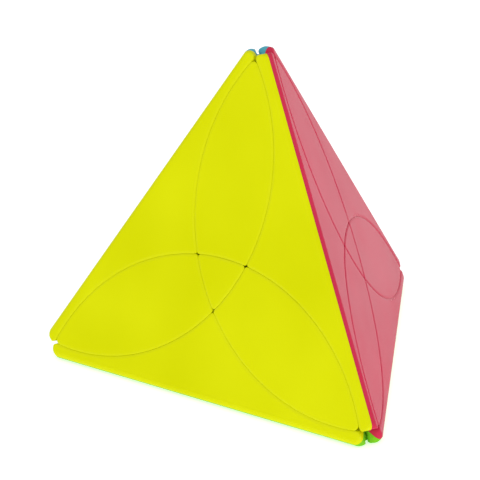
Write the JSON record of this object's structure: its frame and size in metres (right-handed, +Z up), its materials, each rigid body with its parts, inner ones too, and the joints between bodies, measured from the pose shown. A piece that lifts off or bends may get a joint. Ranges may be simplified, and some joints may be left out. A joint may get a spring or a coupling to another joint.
{
  "type": "pyramid turning puzzle",
  "caption": "Four-sided pyramid puzzle cut by ball-shaped cuts into edge pieces, pointed petals and small centres; each edge layer turns about the core.",
  "frame": {"origin": "centre of the green resting face, on the surface the puzzle stands on", "axes": "+Z up through the top corner, the yellow face towards -Y, +X along its lower edge towards the right corner"},
  "size_m": [0.1, 0.0879, 0.0819],
  "materials": {
    "plastic_yellow": "moulded, glossy",
    "plastic_green": "moulded, glossy",
    "plastic_blue": "moulded, glossy",
    "plastic_red": "moulded, glossy",
    "plastic_dark": "moulded, satin",
    "steel": "zinc plated"
  },
  "bodies": {
    "core": {"core": "plastic_dark", "screws": "steel", "washers": "steel", "springs": "steel"},
    "edge_top_left": {"hub_top_left": "plastic_dark", "shell_top_left_blue": "plastic_blue", "shell_top_left_yellow": "plastic_yellow"},
    "edge_right_back": {"hub_right_back": "plastic_dark", "shell_right_back_green": "plastic_green", "shell_right_back_red": "plastic_red"},
    "edge_top_right": {"hub_top_right": "plastic_dark", "shell_top_right_red": "plastic_red", "shell_top_right_yellow": "plastic_yellow"},
    "edge_left_back": {"hub_left_back": "plastic_dark", "shell_left_back_green": "plastic_green", "shell_left_back_blue": "plastic_blue"},
    "edge_top_back": {"hub_top_back": "plastic_dark", "shell_top_back_red": "plastic_red", "shell_top_back_blue": "plastic_blue"},
    "edge_left_right": {"hub_left_right": "plastic_dark", "shell_left_right_green": "plastic_green", "shell_left_right_yellow": "plastic_yellow"},
    "petal_yellow_top": {"petal_yellow_top": "plastic_yellow", "foot_yellow_top": "plastic_yellow"},
    "petal_yellow_left": {"petal_yellow_left": "plastic_yellow", "foot_yellow_left": "plastic_yellow"},
    "petal_yellow_right": {"petal_yellow_right": "plastic_yellow", "foot_yellow_right": "plastic_yellow"},
    "petal_red_top": {"petal_red_top": "plastic_red", "foot_red_top": "plastic_red"},
    "petal_red_right": {"petal_red_right": "plastic_red", "foot_red_right": "plastic_red"},
    "petal_red_back": {"petal_red_back": "plastic_red", "foot_red_back": "plastic_red"},
    "petal_blue_top": {"petal_blue_top": "plastic_blue", "foot_blue_top": "plastic_blue"},
    "petal_blue_left": {"petal_blue_left": "plastic_blue", "foot_blue_left": "plastic_blue"},
    "petal_blue_back": {"petal_blue_back": "plastic_blue", "foot_blue_back": "plastic_blue"},
    "petal_green_left": {"petal_green_left": "plastic_green", "foot_green_left": "plastic_green"},
    "petal_green_right": {"petal_green_right": "plastic_green", "foot_green_right": "plastic_green"},
    "petal_green_back": {"petal_green_back": "plastic_green", "foot_green_back": "plastic_green"},
    "centre_yellow": {"centre_yellow": "plastic_yellow", "centre_foot_yellow": "plastic_yellow"},
    "centre_red": {"centre_red": "plastic_red", "centre_foot_red": "plastic_red"},
    "centre_blue": {"centre_blue": "plastic_blue", "centre_foot_blue": "plastic_blue"},
    "centre_green": {"centre_green": "plastic_green", "centre_foot_green": "plastic_green"}
  },
  "joints": [
    {"name": "turn_top_left", "type": "hinge", "parent": "core", "child": "edge_top_left", "pos_m": [0, 0, 0.02205], "axis": [-0.7071, -0.4082, 0.5774], "continuous": true},
    {"name": "turn_right_back", "type": "hinge", "parent": "core", "child": "edge_right_back", "pos_m": [0, 0, 0.02205], "axis": [0.7071, 0.4082, -0.5774], "continuous": true},
    {"name": "turn_top_right", "type": "hinge", "parent": "core", "child": "edge_top_right", "pos_m": [0, 0, 0.02205], "axis": [0.7071, -0.4082, 0.5774], "continuous": true},
    {"name": "turn_left_back", "type": "hinge", "parent": "core", "child": "edge_left_back", "pos_m": [0, 0, 0.02205], "axis": [-0.7071, 0.4082, -0.5774], "continuous": true},
    {"name": "turn_top_back", "type": "hinge", "parent": "core", "child": "edge_top_back", "pos_m": [0, 0, 0.02205], "axis": [0, 0.8165, 0.5774], "continuous": true},
    {"name": "turn_left_right", "type": "hinge", "parent": "core", "child": "edge_left_right", "pos_m": [0, 0, 0.02205], "axis": [0, -0.8165, -0.5774], "continuous": true},
    {"name": "carry_petal_yellow_top", "type": "hinge", "parent": "edge_top_left", "child": "petal_yellow_top", "pos_m": [0, 0, 0.02205], "axis": [0.7071, -0.4082, 0.5774], "continuous": true},
    {"name": "carry_petal_yellow_left", "type": "hinge", "parent": "edge_left_right", "child": "petal_yellow_left", "pos_m": [0, 0, 0.02205], "axis": [-0.7071, -0.4082, 0.5774], "continuous": true},
    {"name": "carry_petal_yellow_right", "type": "hinge", "parent": "edge_top_right", "child": "petal_yellow_right", "pos_m": [0, 0, 0.02205], "axis": [0, -0.8165, -0.5774], "continuous": true},
    {"name": "carry_petal_red_top", "type": "hinge", "parent": "edge_top_right", "child": "petal_red_top", "pos_m": [0, 0, 0.02205], "axis": [0, 0.8165, 0.5774], "continuous": true},
    {"name": "carry_petal_red_right", "type": "hinge", "parent": "edge_right_back", "child": "petal_red_right", "pos_m": [0, 0, 0.02205], "axis": [0.7071, -0.4082, 0.5774], "continuous": true},
    {"name": "carry_petal_red_back", "type": "hinge", "parent": "edge_top_back", "child": "petal_red_back", "pos_m": [0, 0, 0.02205], "axis": [0.7071, 0.4082, -0.5774], "continuous": true},
    {"name": "carry_petal_blue_top", "type": "hinge", "parent": "edge_top_back", "child": "petal_blue_top", "pos_m": [0, 0, 0.02205], "axis": [-0.7071, -0.4082, 0.5774], "continuous": true},
    {"name": "carry_petal_blue_left", "type": "hinge", "parent": "edge_top_left", "child": "petal_blue_left", "pos_m": [0, 0, 0.02205], "axis": [-0.7071, 0.4082, -0.5774], "continuous": true},
    {"name": "carry_petal_blue_back", "type": "hinge", "parent": "edge_left_back", "child": "petal_blue_back", "pos_m": [0, 0, 0.02205], "axis": [0, 0.8165, 0.5774], "continuous": true},
    {"name": "carry_petal_green_left", "type": "hinge", "parent": "edge_left_back", "child": "petal_green_left", "pos_m": [0, 0, 0.02205], "axis": [0, -0.8165, -0.5774], "continuous": true},
    {"name": "carry_petal_green_right", "type": "hinge", "parent": "edge_left_right", "child": "petal_green_right", "pos_m": [0, 0, 0.02205], "axis": [0.7071, 0.4082, -0.5774], "continuous": true},
    {"name": "carry_petal_green_back", "type": "hinge", "parent": "edge_right_back", "child": "petal_green_back", "pos_m": [0, 0, 0.02205], "axis": [-0.7071, 0.4082, -0.5774], "continuous": true},
    {"name": "carry_centre_yellow", "type": "hinge", "parent": "petal_yellow_top", "child": "centre_yellow", "pos_m": [0, 0, 0.02205], "axis": [0, -0.8165, -0.5774], "continuous": true},
    {"name": "carry_centre_red", "type": "hinge", "parent": "petal_red_right", "child": "centre_red", "pos_m": [0, 0, 0.02205], "axis": [0, 0.8165, 0.5774], "continuous": true},
    {"name": "carry_centre_blue", "type": "hinge", "parent": "petal_blue_left", "child": "centre_blue", "pos_m": [0, 0, 0.02205], "axis": [0, 0.8165, 0.5774], "continuous": true},
    {"name": "carry_centre_green", "type": "hinge", "parent": "petal_green_back", "child": "centre_green", "pos_m": [0, 0, 0.02205], "axis": [0, -0.8165, -0.5774], "continuous": true}
  ],
  "couplings": [
    {"joint": "carry_petal_yellow_top", "follows": "turn_top_right", "ratio": 1},
    {"joint": "carry_petal_yellow_left", "follows": "turn_top_left", "ratio": 1},
    {"joint": "carry_petal_yellow_right", "follows": "turn_left_right", "ratio": 1},
    {"joint": "carry_petal_red_top", "follows": "turn_top_back", "ratio": 1},
    {"joint": "carry_petal_red_right", "follows": "turn_top_right", "ratio": 1},
    {"joint": "carry_petal_red_back", "follows": "turn_right_back", "ratio": 1},
    {"joint": "carry_petal_blue_top", "follows": "turn_top_left", "ratio": 1},
    {"joint": "carry_petal_blue_left", "follows": "turn_left_back", "ratio": 1},
    {"joint": "carry_petal_blue_back", "follows": "turn_top_back", "ratio": 1},
    {"joint": "carry_petal_green_left", "follows": "turn_left_right", "ratio": 1},
    {"joint": "carry_petal_green_right", "follows": "turn_right_back", "ratio": 1},
    {"joint": "carry_petal_green_back", "follows": "turn_left_back", "ratio": 1},
    {"joint": "carry_centre_yellow", "follows": "turn_left_right", "ratio": 1},
    {"joint": "carry_centre_red", "follows": "turn_top_back", "ratio": 1},
    {"joint": "carry_centre_blue", "follows": "turn_top_back", "ratio": 1},
    {"joint": "carry_centre_green", "follows": "turn_left_right", "ratio": 1}
  ]
}
